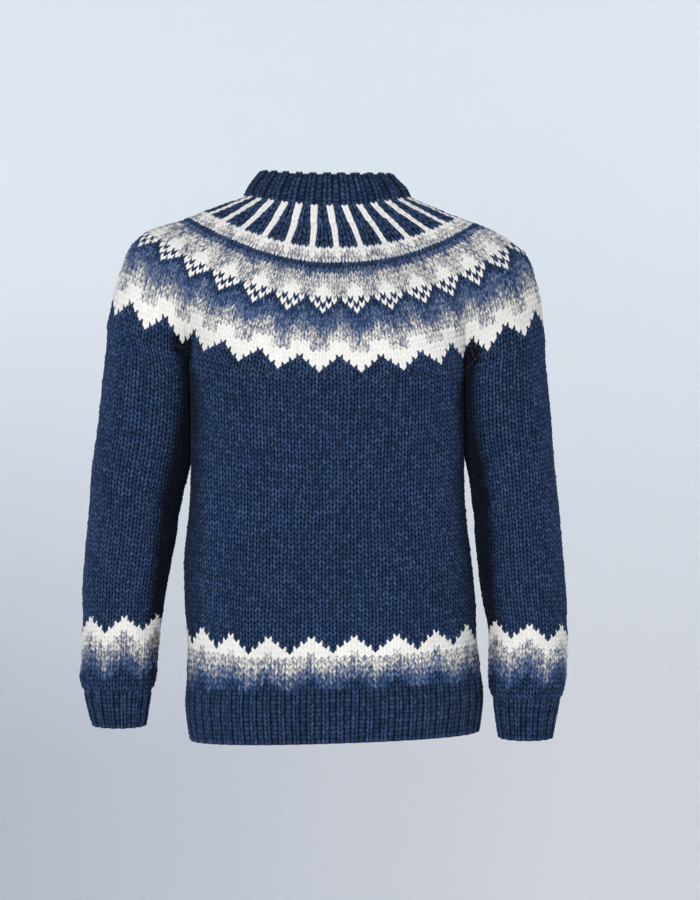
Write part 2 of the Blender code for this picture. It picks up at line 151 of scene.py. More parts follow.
CUFF_TOP = 14  # the row that the highest white stitches lie in
HEM_TOP = 9
YOKE_INNER_ROWS = (0, 2, 4, 7, 10, 14, 18, 22, 26, 30, YOKE_ROWS)
# The yoke's decreases: the first row and the last of each band, and the stitches in a repeat.
YOKE_BANDS = ((0, 24, 6), (24, 27, 4), (27, 31, 3), (31, 34, 2))
# The first ray's middle, and for some rows a ray's width, in stitches of the yoke's foot.
RAY_MIDDLE = 1.5
RAY_WIDTHS = ((24, 1.5), (27, 1.3), (29, 1.6), (31, 2.1), (34, 2.9))
SLEEVE_EVEN = 8  # the rows at the top of a sleeve that have all the stitches
# Where the knitting lies off its even places: the stitch in the middle of such a stretch, how
# many stitches it fades out over to each side, and for some rows the shift along and up.
YOKE_DRIFTS = (
    (0, 60, ((0, 0, 0), (2, 0, -0.2), (8, 0.1, -0.25), (14, 0.35, -0.15), (20, 0.5, -0.45),
             (25, 0.55, -0.55), (30, 0, -0.35), (34, -1.5, 0))),
    (24, 26, ((20, 0, 0), (27, 0.9, 0), (30, 0, 0), (34, -1.2, 0))),
    (-24, 26, ((20, 0, 0), (27, -0.9, 0), (30, -0.3, 0), (34, 0.3, 0))),
    (30, 16, ((2, 0, 0), (8, -0.6, 0), (14, -1.4, -0.2), (20, -0.8, 0), (26, 0, 0))),
    (14, 14, ((0, 0, 0), (2, 0.5, -0.3), (8, 0.3, 0), (13, 0, 0))),
)
BODY_DRIFTS = (
    (0, 800, ((0, 0, 0), (4, 0, 0.3), (9, 0, 0.45), (24, 0, 0))),
    (-24, 14, ((0, 1.3, 0), (9, 1.2, 1.3), (20, 0.9, 1), (40, 0, 0))),
    (24, 12, ((0, 0, 0), (9, 0, 0.5), (30, 0, 0))),
)
SLEEVE_DRIFTS = {
    1: (
        (0, 400, ((0, 0, 0), (6, 0, 0.4), (14, 0, 0.6), (30, 0, 0))),
        (18, 40, ((0, -0.1, 0), (73, 0, 0))),
        (18, 12, ((0, 0, 0), (12, 0, -1.3), (20, 0, -1.1), (45, 0, 0))),
        (39, 12, ((0, 0, 0), (12, 0, 1.3), (20, 0, 1.1), (45, 0, 0))),
    ),
    -1: (
        (0, 400, ((0, 0, 0), (6, 0, 0.2), (14, 0, 0.35), (30, 0, 0))),
        (18, 40, ((0, -0.35, 0), (73, 0, 0))),
        (18, 12, ((0, 0, 0), (12, 0, -1.2), (20, 0, -1), (45, 0, 0))),
        (39, 12, ((0, 0, 0), (12, 0, 1), (20, 0, 0.8), (45, 0, 0))),
    ),
}

# The shade beside the arms: for some rows, how dark it is and how many stitches it fades over.
BODY_SHADE = ((0, 0.3, 8), (20, 0.45, 9), (40, 0.6, 9), (58, 0.75, 9), (62, 0.6, 6))
SLEEVE_SHADE = ((0, 0.4, 5), (12, 0.8, 6.5), (30, 1.0, 7.5), (50, 1.0, 8), (73, 1.0, 7.5))
YOKE_SHADE = ((0, 1.0, 3.5), (3, 0.8, 3), (7, 0, 2))
SHADE_EDGE = 1.8  # how steeply it fades

# One stitch: where its corners lie across it and up it, how far out, and the V that it bends in.
ACROSS = np.array([0.0, 0.13, 0.37, 0.5, 0.63, 0.87])
ACROSS_OUT = np.array([0.0, 0.92, 0.92, 0.08, 0.92, 0.92])
PRONG = np.array([0.78, 0.97, 0.27, 0.0, 0.27, 0.97])
UP = np.array([0.0, 0.3, 0.68])
UP_OUT = np.array([0.25, 1.0, 0.85])
# A rib's two columns: the knit one has a stitch's Vs, the purl one small bars in the groove.
PURL = np.array([0.0, 0.2, 0.4, 0.6, 0.8])
PURL_OUT = np.array([0.0, 0.6, 0.78, 0.78, 0.6])
PURL_BEND = np.array([0.78, 0.62, 0.55, 0.55, 0.62])
RIB_UP = np.array([0.5, 0.9, 1.0, 1.0, 1.0, 0.9])
PURL_UP = np.array([0.5, 0.12, 0.0, 0.0, 0.12])
RIB_DEPTHS = (0.95, 0.7)  # how deep the grooves between rows are, on the knit and the purl
# RIB_LIGHT is how much less painted shade a rib's ridges get.
RIB_RELIEF, RIB_UNEVEN, RIB_LIGHT = 0.85, 0.12, 0.12
RIB_START = 3  # the rows that a hem's and a cuff's ridges start over
RIB_EDGE = 1.2  # how much thinner it is at its foot
RIB_TOP = 0.3
TUCK_ROWS, TUCK_INNER = 0.45, 0.6  # how far its outer side goes on upwards, then its inner side
# Each rib: its ribs and rows, the width of a knit column as a share of a rib and where its middle
# lies, its ridge, its wall where it is a tube, how shaded it is, and its seed.
RIBS = {
    "hem_rib_knit": (HEM_RIBS, HEM_RIB_ROWS, 0.5, 0.75, 1.3, CLOTH, 0.16, 41),
    "cuff_left_knit": (CUFF_RIBS, CUFF_ROWS, 0.52, 0.875, 1.7, CLOTH, 0.16, 52),
    "cuff_right_knit": (CUFF_RIBS, CUFF_ROWS, 0.52, 0.875, 1.7, CLOTH, 0.16, 50),
    "neckband_knit": (NECK_RIBS, 2 * NECK_ROWS + 4, 0.56, 0.875, 2.0, 0, 0.2, 61),
}
V_DEPTH = 0.62  # how many rows a V is deep
RELIEF = 2.3
SUNK = 1.8  # how far inside the form the grooves lie
WHITE_DEPTH = 0.6  # the white stitches are fuller, so that less of a groove is left
LEG_HEIGHT, LEG_SLIP = 0.14, 0.05  # how uneven the legs of the stitches are
DRAWN_ROWS = 5  # the rows that draw in towards a rib
BODY_DRAWN, SLEEVE_DRAWN = 0.5, 0.9
BODY_SEED, SLEEVE_SEED, YOKE_SEED, FIBRE_SEED = 11, 21, 31, 71
# How a patch ends: how much its Vs bend there, how far out it lies, and its lift, which sets its
# painted shade.
MEET = (1.0, -SUNK, 0.0)  # shares a zigzag with the next piece
OVER = (1.0, -0.5, 0.45)  # lies over the next piece in a zigzag
ALONG = (1.0, -SUNK + 0.7, 0.35)  # goes on in a rib
UNDER = (0.0, -2.7, 0.0)  # is tucked in under the last one

FIBRES = 18000
FIBRE_LENGTH = (3.0, 12.0)
FIBRE_WIDTH = 0.11
FIBRE_STAND = (0.1, 0.5)
FIBRE_ROOT = 0.6
FIBRE_STEPS = (0, 0.35, 0.7, 1.0)
# On the yoke, body, hem, sleeves and neckband: up to which row, of what material and how many.
FIBRE_PLACES = (
    (YOKE_ROWS, 1, 1.6), (BODY_ROWS, 0, 3.0), (HEM_RIB_ROWS, 0, 0.6), (SLEEVE_ROWS, 0, 1.5),
    (SLEEVE_ROWS, 0, 1.5), (NECK_ROWS + 3, 0, 0.4),
)

NAVY = (0.0225, 0.0545, 0.134)
NAVY_LIGHT = (0.060, 0.088, 0.185)
WHITE = (0.835, 0.81, 0.765)
WHITE_LIGHT = (0.82, 0.79, 0.73)
FIBRE_WOOLS = {"fibre_navy": (0.05, 0.075, 0.16), "fibre_pale": (0.40, 0.38, 0.36)}
SHADES = (
    WHITE, (0.77, 0.75, 0.72), (0.61, 0.587, 0.563), (0.45, 0.433, 0.425), (0.33, 0.33, 0.355),
    (0.215, 0.245, 0.33), (0.165, 0.215, 0.34), (0.105, 0.160, 0.305), (0.064, 0.108, 0.235),
    (0.038, 0.070, 0.17), NAVY,
)  # the heather, in steps of a tenth
MOTTLED = (1.1, 0.55)  # how much of its flecks the lightest heather has, and the darkest
# The paper's colour at its top and, lower down, at its left and right; the darker lower and left
# colours are painted shade.
PAPER_TOP = (0.785, 0.825, 0.86)
PAPER_LEFT = (0.535, 0.565, 0.615)
PAPER_RIGHT = (0.79, 0.79, 0.81)
PAPER_HEIGHTS = (-1.25, 0.25)
PAPER_SIDES = (-1.2, 0.7)
# The round room: its floor's height and flat middle, its radius, its bend's and its top's height.
ROOM = (-3.4, 0.5, 4.4, 2.2, 9.5)
ROOM_SIDES, ROOM_BENDS = 96, 24
# Each lamp's place, what it faces, its width and its power in watts.
OBJECT = (0, 0, -0.3)
LAMPS = {
    "key": ((-0.65, -3.5, 0.0), OBJECT, 1.6, 97),
    "fill": ((0.9, -3.5, -0.1), OBJECT, 1.4, 5),
    "wall_left": ((-2.6, 1.4, 1.4), (-0.6, 4.4, -0.2), 1.5, 35),
    "wall_right": ((2.6, 1.4, 1.4), (0.6, 4.4, -0.2), 1.5, 36),
    "back": ((0.2, 3.6, 0.3), OBJECT, 1.6, 78),
}

# For each piece: the node that it stands for, the width, length and area of its cut in metres,
# all round where it is a tube, and how it is held and by what.
CUTS = {
    "body_front": ("body", 0.442, 0.364, 0.153, "hung", ["yoke_knit"]),
    "body_back": ("body", 0.442, 0.364, 0.153, "hung", ["yoke_knit"]),
    "hem_rib_knit": ("hem_rib", 0.877, 0.062, 0.054, "hung", ["body_front", "body_back"]),
    "sleeve_left_knit": ("sleeve_left", 0.352, 0.397, 0.122, "hung", ["yoke_knit"]),
    "sleeve_right_knit": ("sleeve_right", 0.362, 0.403, 0.127, "hung", ["yoke_knit"]),
    "cuff_left_knit": ("cuff_left", 0.236, 0.048, 0.0102, "hung", ["sleeve_left_knit"]),
    "cuff_right_knit": ("cuff_right", 0.236, 0.043, 0.0091, "hung", ["sleeve_right_knit"]),
    "yoke_knit": ("yoke", 1.356, 0.222, 0.212, "draped", []),
    "neckband_knit": ("neckband", 0.505, 0.037, 0.0155, "folded", ["yoke_knit"]),
}


def read(table, at):
    """A table's columns after its first, at a place in the first, on smooth curves."""
    rows = np.array(table, float)
    place, values = rows[:, 0], rows[:, 1:]
    slope = np.gradient(values, place, axis=0)
    at = np.clip(at, place[0], place[-1])
    i = np.clip(np.searchsorted(place, at) - 1, 0, len(place) - 2)
    span, rise = place[i + 1] - place[i], values[i + 1] - values[i]
    t = (at - place[i]) / span
    bend = (1 - t) * (slope[i] * span - rise) - t * (slope[i + 1] * span - rise)
    return values[i] + rise * t + t * (1 - t) * bend


def unit(vectors):
    return vectors / np.linalg.norm(vectors, axis=-1, keepdims=True)


def spaced(line, shares):
    """Points along a line of fine points, at shares of its length."""
    run = np.concatenate([[0], np.cumsum(np.linalg.norm(np.diff(line, axis=0), axis=1))])
    at = np.asarray(shares) * run[-1]
    return np.stack([np.interp(at, run, line[:, k]) for k in range(line.shape[1])], axis=1)


def round_it(ring, count, first=0.0):
    """`count` evenly spaced points round a closed ring, the first at a share of its length."""
    return spaced(np.vstack([ring, ring[:1]]), np.mod(first + np.arange(count) / count, 1.0))


def oval(right, left, front, back, roundness=2.0):
    """A fine closed ring in plan, from the middle of the front."""
    turn = np.linspace(0, 2 * math.pi, FINE, endpoint=False)
    across, away = np.sin(turn), -np.cos(turn)
    squared = 2 / roundness
    x = np.where(across > 0, left, right) * np.sign(across) * np.abs(across) ** squared
    y = np.where(away > 0, back, front) * np.sign(away) * np.abs(away) ** squared
    return np.stack([x, y], axis=1)


def hill_height(ring, x, y):
    """The height, over a point in plan, of a ring that climbs from front and back to its sides."""
    right, left, _, _, z_right, z_left, z_front, z_back = ring
    climb = np.where(x > 0, CLIMB_LEFT, CLIMB_RIGHT)
    sideways = np.clip(np.abs(x) / np.where(x > 0, left, right), 0, 1) ** climb
    z_side, z_end = np.where(x > 0, z_left, z_right), np.where(y > 0, z_back, z_front)
    return sideways * z_side + (1 - sideways) * z_end


def hilly_ring(table, step, count):
    """`count` points round a ring whose height differs at its front, sides and back."""
    ring = read(table, step)
    x, y = round_it(oval(*ring[:4]), count).T
    return np.stack([x, y, hill_height(ring, x, y)], axis=1)


def yoke_height(x, y):
    return hill_height(YOKE_RINGS[0][1:], x, y)


def body_plan(z):
    right, left, front, back, fullest = read(BODY_SECTIONS, z)
    ring = oval(right, left, front, back, BODY_ROUNDNESS)
    sideways = np.abs(ring[:, 0]) / np.where(ring[:, 0] > 0, left, right)
    ring[:, 1] += fullest * sideways**SIDE_POWER
    return ring


def body_reach(y, z, side):
    """How far the body reaches sideways at a depth and a height."""
    ring = body_plan(z)
    half = ring[ring[:, 0] * side > 0]
    half = half[np.argsort(half[:, 1])]
    return np.interp(y, half[:, 1], np.abs(half[:, 0]))


def body_top():
    """The body's last row, a point for each stitch, sagging at the underarms."""
    x, y = round_it(body_plan(BODY_TOP_Z), BODY_ROUND).T
    z = yoke_height(x, y)
    for start in (LEFT_START, RIGHT_START):
        stitches = start + np.arange(UNDERARM + 1)
        along = np.arange(UNDERARM + 1) / UNDERARM
        level = z[start] + (z[start + UNDERARM] - z[start]) * along
        z[stitches] = level - UNDERARM_DIP * np.sin(math.pi * along)
    return np.stack([x, y, z], axis=1)


def sleeve_plan(table, at, side, count, first=0.0):
    """`count` points round a sleeve's or a cuff's section, from the middle of its inner side."""
    outer, inner, front, back = read(table, at)
    wide, deep = (outer - inner) / 2, (back - front) / 2
    inner_side = (1 + side / 2) / 2
    plan = round_it(oval(wide, wide, deep, deep), count, inner_side + first / count)
    return plan + [side * (outer + inner) / 2, (front + back) / 2]


def sleeve_top(side, top):
    """A sleeve's last row: the stitches that the yoke picks up, then those under the arm."""
    start = LEFT_START if side > 0 else RIGHT_START
    under = top[start : start + UNDERARM + 1][::-1]
    middle = float(under[:, 2].mean())
    ring = sleeve_plan(SLEEVE_SECTIONS[side], middle, side, SLEEVE_ROUND, UNDERARM / 2)
    over = ring[: ARM + 1]
    along = np.arange(ARM + 1)[:, None] / ARM
    near_start = np.clip(1 - along / END_SHARE, 0, 1) ** 2
    near_end = near_start[::-1]
    over = over + (under[-1, :2] - over[0]) * near_start + (under[0, :2] - over[-1]) * near_end
    over = np.column_stack([over, yoke_height(*over.T)])
    over = spaced(over, np.arange(ARM + 1) / ARM)
    return np.vstack([over[:-1], under[:-1]])


def yoke_foot(top, left_top, right_top):
    """The yoke's first row: stitches of the front, left sleeve, back and right sleeve."""
    front, back, rest = top[:LEFT_START], top[LEFT_END:RIGHT_START], top[RIGHT_END:]
    return np.vstack([front, left_top[:ARM], back, right_top[:ARM], rest])


def yoke_grid(foot):
    """The yoke's outer side, a ring for each row from its foot."""
    dent = foot - hilly_ring(YOKE_RINGS, 0, YOKE_ROUND)
    grid = []
    for row in range(YOKE_ROWS + 1):
        fade = max(0.0, 1 - row / VALLEY_ROWS) ** VALLEY_FADE
        grid.append(hilly_ring(YOKE_RINGS, row, YOKE_ROUND) + dent * fade)
    return np.array(grid)


def tube_grid(foot_z, top, rows, blend, plan_at):
    """A tube's rings from its foot to its last row, whose form they take on close to it."""
    rings = []
    for row in range(rows):
        share = row / rows
        z = foot_z + (top[:, 2] - foot_z) * share
        plan = plan_at(float(z.mean()))
        turn = max(0.0, (share - 1 + blend) / blend) ** 2
        rings.append(np.column_stack([plan + (top[:, :2] - plan) * turn, z]))
    return rings


def body_grid(top):
    """The body's outer side, a ring for each row from the hem rib."""
    def plan_at(z):
        return round_it(body_plan(z), BODY_ROUND)

    foot_z = BODY_SECTIONS[0][0]
    foot_z = foot_z + HEM_TILT * plan_at(foot_z)[:, 0]
    return np.array([*tube_grid(foot_z, top, BODY_ROWS, BODY_TOP_BLEND, plan_at), top])


def clear_of_body(ring, side):
    """The same ring, moved sideways where it would be in the body or close to it."""
    moved = ring.copy()
    for point in moved:
        least = body_reach(point[1], point[2], side) + BODY_CLEAR
        spare = abs(point[0]) - least
        point[0] = side * (least + (spare + math.hypot(spare, BODY_CLEAR)) / 2)
    return moved


def sleeve_grid(side, top):
    """A sleeve's outer side, a ring for each row from the cuff."""
    def plan_at(z):
        return sleeve_plan(SLEEVE_SECTIONS[side], z, side, SLEEVE_ROUND, UNDERARM / 2)

    foot_z = SLEEVE_SECTIONS[side][0][0]
    rings = tube_grid(foot_z, top, SLEEVE_ROWS, SLEEVE_TOP_BLEND, plan_at)
    return np.array([*(clear_of_body(ring, side) for ring in rings), top])


def outward(grid):
    """The direction out of the cloth at each point of a grid."""
    along = np.roll(grid, -1, axis=1) - np.roll(grid, 1, axis=1)
    return unit(np.cross(along, np.gradient(grid, axis=0)))


def folded(grid, folds, share):
    """The same grid with its folds pressed in. share says where round the ring each stitch lies."""
    out = outward(grid)
    girth = np.linalg.norm(np.roll(grid, -1, axis=1) - grid, axis=2).sum(axis=1)
    press = np.zeros(grid.shape[:2])
    for place, z, climb, length, width, depth in folds:
        away = np.mod(share - place + 0.5, 1.0) - 0.5
        across = away[None, :] * girth[:, None]
        line_z = z + climb * across / length
        far = (across / length) ** 2 + ((grid[:, :, 2] - line_z) / width) ** 2
        press += depth * np.exp(-far)
    rows = np.arange(grid.shape[0])[:, None] / (grid.shape[0] - 1)
    from_ends = np.sqrt(np.sin(math.pi * rows))
    return grid - out * (press * from_ends)[:, :, None]


def weights(t):
    """How much each of four neighbours counts on a smooth curve between the middle two."""
    return (
        (-t + 2 * t**2 - t**3) / 2,
        (2 - 5 * t**2 + 3 * t**3) / 2,
        (t + 4 * t**2 - 3 * t**3) / 2,
        (t**3 - t**2) / 2,
    )


def look_up(grid, u, v):
    """Points of a closed grid, u stitches round it and v rows up it, on smooth curves."""
    rows, count = grid.shape[:2]
    i = np.floor(u).astype(int)
    k = np.clip(np.floor(v).astype(int), 0, rows - 2)
    total = 0
    for a, up in enumerate(weights(v - k)):
        row = np.clip(k + a - 1, 0, rows - 1)
        for b, along in enumerate(weights(u - i)):
            total = total + (up * along)[..., None] * grid[row, (i + b - 1) % count]
    return total


def apart(u, places, count):
    """How far round a piece each stitch is from the nearest of some places."""
    half = count / 2
    return np.min([np.abs((u - place + half) % count - half) for place in places], axis=0)


def added(name, data):
    """A new object in the scene."""
    piece = bpy.data.objects.new(name, data)
    bpy.context.scene.collection.objects.link(piece)
    return piece


def mesh_piece(name, corners, numbers, sizes, kinds, materials):
    """A mesh object from corners, the numbers of each face's in turn, and how many it has."""
    mesh = bpy.data.meshes.new(name)
    mesh.vertices.add(len(corners))
    mesh.vertices.foreach_set("co", (corners * MM).astype(np.float32).ravel())
    mesh.loops.add(len(numbers))
    mesh.loops.foreach_set("vertex_index", numbers.astype(np.int32))
    mesh.polygons.add(len(sizes))
    starts = np.concatenate([[0], np.cumsum(sizes)[:-1]])
    mesh.polygons.foreach_set("loop_start", starts.astype(np.int32))
    mesh.polygons.foreach_set("material_index", kinds.astype(np.int32))
    mesh.update(calc_edges=True)
    for material in materials:
        mesh.materials.append(bpy.data.materials[material])
    return added(name, mesh)


class Cloth:
    """One side of a piece: a grid of points with the directions out of it.

    `above` is the ring that the knitting goes on to after the grid's last.
    """

    def __init__(self, grid, above=None):
        above = 2 * grid[-1] - grid[-2] if above is None else above
        self.grid = np.concatenate([grid, above[None]])
        self.out = outward(self.grid)
        self.round = grid.shape[1]
        self.rows = grid.shape[0] - 1

    def at(self, u, v):
        return look_up(self.grid, u, v), unit(look_up(self.out, u, v))

    def wander(self, u, v, seed, size):
        """A slow, smooth random number for each place, the same again after one time round."""
        rng = np.random.default_rng(SEED + seed)
        total = 0
        for turns in (3, 7, 11, 17, 23):
            rise, start = rng.uniform(0.08, 0.5), rng.uniform(0, 2 * math.pi)
            total = total + np.sin(2 * math.pi * turns * u / self.round + rise * v + start)
        return total * size / 3


class Knitting:
    """A piece's corners and faces, added a patch at a time."""

    def __init__(self, name):
        self.name = name
        self.corners, self.lifts, self.patches = [], [], []
        self.count = 0

    def add_corners(self, points, lift):
        """Adds a sheet of corners and gives their numbers in the same shape."""
        numbers = self.count + np.arange(lift.size).reshape(lift.shape)
        self.corners.append(points.reshape(-1, 3))
        self.lifts.append(lift.ravel())
        self.count += lift.size
        return numbers

    def add_rings(self, points, lift):
        """The same for rings whose last corner is their first one."""
        numbers = self.add_corners(points[:, :-1], lift[:, :-1])
        return np.concatenate([numbers, numbers[:, :1]], axis=1)

    def add_wall(self, inner, outer, inner_at, outer_at):
        """The lower and the upper edge between an inner and an outer side."""
        self.join(inner[0], outer[0], inner_at, outer_at)
        self.join(outer[-1], inner[-1], outer_at, inner_at)

    def add_faces(self, faces, yarns, places, shades=1.0):
        """Faces of four corners, one of them -1 in a triangle, each with its places."""
        values = ((yarns, ()), (shades, ()), (places, (4, 2)))
        values = [np.broadcast_to(value, (len(faces), *shape)) for value, shape in values]
        self.patches.append((faces, *values))

    def add_sheet(self, numbers, u, v, yarns, shades=1.0):
        """The faces between rows of corners. u and v hold each corner's place."""
        def around(a):
            a = np.broadcast_to(a, numbers.shape)
            a = np.stack([a[:-1, :-1], a[:-1, 1:], a[1:, 1:], a[1:, :-1]], axis=-1)
            return a.reshape(-1, 4)

        faces, places = around(numbers), np.stack([around(u), around(v)], axis=-1)
        shape = np.subtract(numbers.shape, 1)
        yarns, shades = (np.broadcast_to(a, shape).reshape(-1) for a in (yarns, shades))
        same = faces == np.roll(faces, -1, axis=1)
        faces = np.where(same, -1, faces)
        for kind in (0, 1):
            kept = same.sum(axis=1) == kind
            self.add_faces(faces[kept], yarns[kept], places[kept], shades[kept])

    def join(self, lower, upper, lower_at, upper_at):
        """Triangles between two lines of corners, whose places along them run from 0 to 1."""
        faces, i, j = [], 0, 0
        n, m = len(lower) - 1, len(upper) - 1
        while i < n or j < m:
            if j == m or (i < n and lower_at[i + 1] <= upper_at[j + 1]):
                faces.append((lower[i], lower[i + 1], upper[j], -1))
                i += 1
            else:
                faces.append((lower[i], upper[j + 1], upper[j], -1))
                j += 1
        self.add_faces(faces, YARNS.index("N"), np.zeros((1, 4, 2)))

    def build(self):
        """The mesh object, with each yarn's material on its own stitches."""
        faces, yarns, shades, places = (np.concatenate(parts) for parts in zip(*self.patches))
        held = faces >= 0
        used, numbers = np.unique(faces[held], return_inverse=True)
        corners, lifts = np.concatenate(self.corners)[used], np.concatenate(self.lifts)[used]
        piece = mesh_piece(self.name, corners, numbers, held.sum(axis=1), yarns, WOOLS)
        piece.data.shade_smooth()
        layer = piece.data.uv_layers.new(name="stitches")
        layer.data.foreach_set("uv", places[held].astype(np.float32).ravel())
        # Each corner's lift sets the painted shade in the wools; each face's shade is its heather's
        # colour.
        for name, domain, values in (("lift", "POINT", lifts), ("shade", "FACE", shades)):
            attribute = piece.data.attributes.new(name, "FLOAT", domain)
            attribute.data.foreach_set("value", values.astype(np.float32))
        return piece


def drifting(drifts, round_):
    """A function of places that gives how far along and up they lie from their even ones."""
    def drift(u, w):
        along, up = np.zeros(np.broadcast_shapes(u.shape, w.shape)), 0
        for middle, wide, rows in drifts:
            share = np.clip(1 - (apart(u, [middle], round_) / wide) ** 2, 0, 1) ** 2
            at, du, dv = zip(*rows)
            along = along + share * np.interp(w, at, du)
            up = up + share * np.interp(w, at, dv)
        return along, up
    return drift


def repeated(one, count):
    """A pattern several times, and its first value once more at the end."""
    return np.append(np.tile(one, count), one[0])


def stitch_rows(first, last):
    """The places of rows of corners, how far out they lie, and how close to the first and last."""
    w = np.append((np.arange(first, last)[:, None] + UP).ravel(), last)[:, None]
    near_foot, near_top = 1 - np.clip(w - first, 0, 1), 1 - np.clip(last - w, 0, 1)
    return w, repeated(UP_OUT, last - first)[:, None], near_foot, near_top


def stocking(
    cloth, first, last, edges, foot, top, letters, seed, drift, calm=None, drawn_in=0.0, shadow=None
):
    """Plain knitting between two rows, a V for each stitch: its corners, lifts, which set its
    painted shade, and places.

    edges(w) gives the places round the piece where the stitches of each row begin, and where the
    last one ends. calm(u, w) is less than 1 where the Vs are drawn flat, and shadow(u, w) more
    than 0 where two pieces face each other.
    """
    rng = np.random.default_rng(SEED + seed)
    w, out_w, near_foot, near_top = stitch_rows(first, last)
    borders = edges(w[:, 0])
    stitches = borders.shape[1] - 1
    wide = np.diff(borders, axis=1)
    u = (borders[:, :-1, None] + wide[:, :, None] * ACROSS).reshape(len(w), -1)
    u = np.concatenate([u, borders[:, -1:]], axis=1)
    bend = 1 - (1 - foot[0]) * near_foot - (1 - top[0]) * near_top
    if calm is not None:
        bend = bend * calm(u, w)
    middle = 1 - near_foot - near_top
    place_u = u + cloth.wander(u, w, seed, 0.07) * middle
    place_v = w + V_DEPTH * repeated(PRONG, stitches) * bend
    place_v = place_v + cloth.wander(u, w, seed + 1, 0.15) * middle
    row_of = np.minimum(np.arange(len(w)) // len(UP), last - first - 1)
    leg_of = np.minimum(np.arange(u.shape[1]) * 2 // len(ACROSS), stitches * 2 - 1)
    legs, slips = rng.normal(0.0, 1.0, (2, last - first, stitches * 2))[:, row_of][:, :, leg_of]
    along, up = drift(u, w)
    points, out = cloth.at(place_u + along, place_v + up + LEG_SLIP * slips * middle)
    lift = out_w * repeated(ACROSS_OUT, stitches)
    deep = np.where(np.array(letters) == "W", WHITE_DEPTH, 1.0)[row_of][:, leg_of // 2]
    height = (1 - deep * (1 - lift * (1 + LEG_HEIGHT * legs))) * RELIEF - SUNK
    height[0], height[-1] = foot[1], top[1]
    lift[0], lift[-1] = foot[2], top[2]
    # Painted shadow beside the arms: it lowers the lift, so that the wool is drawn darker there.
    if shadow is not None:
        lift = lift * (1 - shadow(u, w))
    height = height - drawn_in * np.clip(1 - (w - first) / DRAWN_ROWS, 0, 1) ** 2
    return points + out * height[:, :, None], lift, u, w


def charted(letters):
    """Yarn numbers and shades of heather for faces, from a letter for each row and stitch."""
    letters = np.array(letters)
    letters = np.repeat(np.repeat(letters, len(UP), axis=0), len(ACROSS), axis=1)
    yarns = np.full(letters.shape, HEATHER)
    for number, letter in enumerate(YARNS):
        yarns[letters == letter] = number
    shades = np.ones(letters.shape)
    for tenths in range(1, 10):
        shades[letters == str(tenths)] = tenths / 10
    return yarns, shades


def chart_letters(chart, rows, stitches, middle):
    """The letters for rows of a chart and stitches, navy where there's no such row."""
    far = apart(stitches, [middle], REPEAT).astype(int)
    return [[chart[row][d] if 0 <= row < len(chart) else "N" for d in far] for row in rows]


def add_inside(knit, cloth, first, last, step, rows, shut=True):
    """The plain inner side. It gives its rows of corners' numbers and their places, 0 to 1."""
    u, v = np.meshgrid(np.arange(first, last + step / 2, step), np.asarray(rows, float))
    points, out = cloth.at(u, v)
    points = points - out * CLOTH
    add = knit.add_rings if shut else knit.add_corners
    numbers = add(points, np.ones_like(u))
    knit.add_sheet(numbers[:, ::-1], u[:, ::-1], v[:, ::-1], INSIDE)
    return numbers, (u[0] - first) / (last - first)


def seam_calm(last, corners, free, count):
    """Draws the Vs of the last row flat near some corners, and in the free span between two."""
    def calm(u, w):
        near = np.clip(w - (last - 1), 0, 1)
        bend = np.clip(apart(u, corners, count) / 2, 0, 1)
        for first, end in free:
            bend = np.where((u - first) % count < end - first, 0, bend)
        return 1 - near * (1 - bend)
    return calm


def shaded(middles, count, rows):
    """The shade where the arms lie along the body, most at some places round the piece.

    rows gives for some rows how dark it is there and how many stitches it fades over.
    """
    at, dark, wide = zip(*rows)

    def shadow(u, w):
        away = apart(u, middles, count)
        fade = np.clip((1 - away / np.interp(w, at, wide)) * SHADE_EDGE, 0, 1)
        return np.interp(w, at, dark) * fade * fade * (3 - 2 * fade)
    return shadow


# ---- the pieces ----

def every_stitch(first, count):
    return lambda w: np.broadcast_to(first + np.arange(count + 1.0), (len(w), count + 1))


def body_half(name, cloth, first, count, drift):
    """The front or the back of the body, from side to side, as a closed wall."""
    knit = Knitting(name)
    free = ((LEFT_START, LEFT_END), (RIGHT_START, RIGHT_END))
    calm = seam_calm(BODY_ROWS, (*free[0], *free[1]), free, BODY_ROUND)
    rows = HEM_TOP - np.arange(BODY_ROWS)
    letters = chart_letters(HEM_CHART, rows, first + np.arange(count), HEM_MOTIF)
    points, lift, u, w = stocking(
        cloth, 0, BODY_ROWS, every_stitch(first, count), ALONG, MEET, letters, BODY_SEED, drift,
        calm, BODY_DRAWN,
        shaded((LEFT_START + UNDERARM / 2, RIGHT_START + UNDERARM / 2), BODY_ROUND, BODY_SHADE),
    )
    outer = knit.add_corners(points, lift)
    knit.add_sheet(outer, u, w, *charted(letters))
    rows = [*range(0, BODY_ROWS, 4), BODY_ROWS]
    inner, at = add_inside(knit, cloth, first, first + count, 2, rows, False)
    knit.add_wall(inner, outer, at, (u[0] - first) / count)
    up, inner_up = w[:, 0] / BODY_ROWS, np.array(rows) / BODY_ROWS
    knit.join(outer[:, 0], inner[:, 0], up, inner_up)
    knit.join(inner[:, -1], outer[:, -1], inner_up, up)
    return knit.build()


